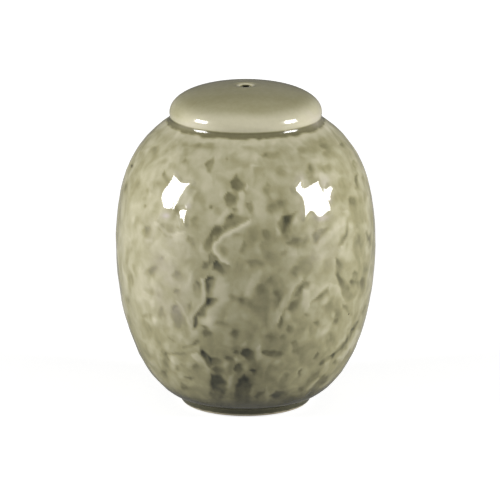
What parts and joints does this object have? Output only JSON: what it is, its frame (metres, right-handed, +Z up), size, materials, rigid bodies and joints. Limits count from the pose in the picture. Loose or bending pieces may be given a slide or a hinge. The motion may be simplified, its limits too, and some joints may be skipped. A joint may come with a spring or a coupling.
{
  "type": "pepper shaker",
  "caption": "Egg-shaped glazed stoneware pepper shaker with a smooth domed top, a pouring hole, a low foot ring and a soft stopper that closes the filling hole in its base.",
  "frame": {"origin": "on the table, on the vessel's axis, under the middle of the foot ring", "axes": "+Z up along the vessel's axis to the pouring hole; +X towards the stopper's pull tab"},
  "size_m": [0.064, 0.064, 0.08],
  "materials": {
    "celadon_glaze": "glossy olive-grey celadon glaze over a stone-like relief, pooled darker in hollows, bare clay under the foot ring",
    "silicone": "satin off-white silicone"
  },
  "bodies": {
    "vessel": {"ceramic_body": "celadon_glaze"},
    "stopper": {"stopper": "silicone"}
  },
  "joints": [
    {"name": "stopper_pull", "type": "slide", "parent": "vessel", "child": "stopper", "axis": [0, 0, -1], "range_m": [0, 0.024]}
  ]
}
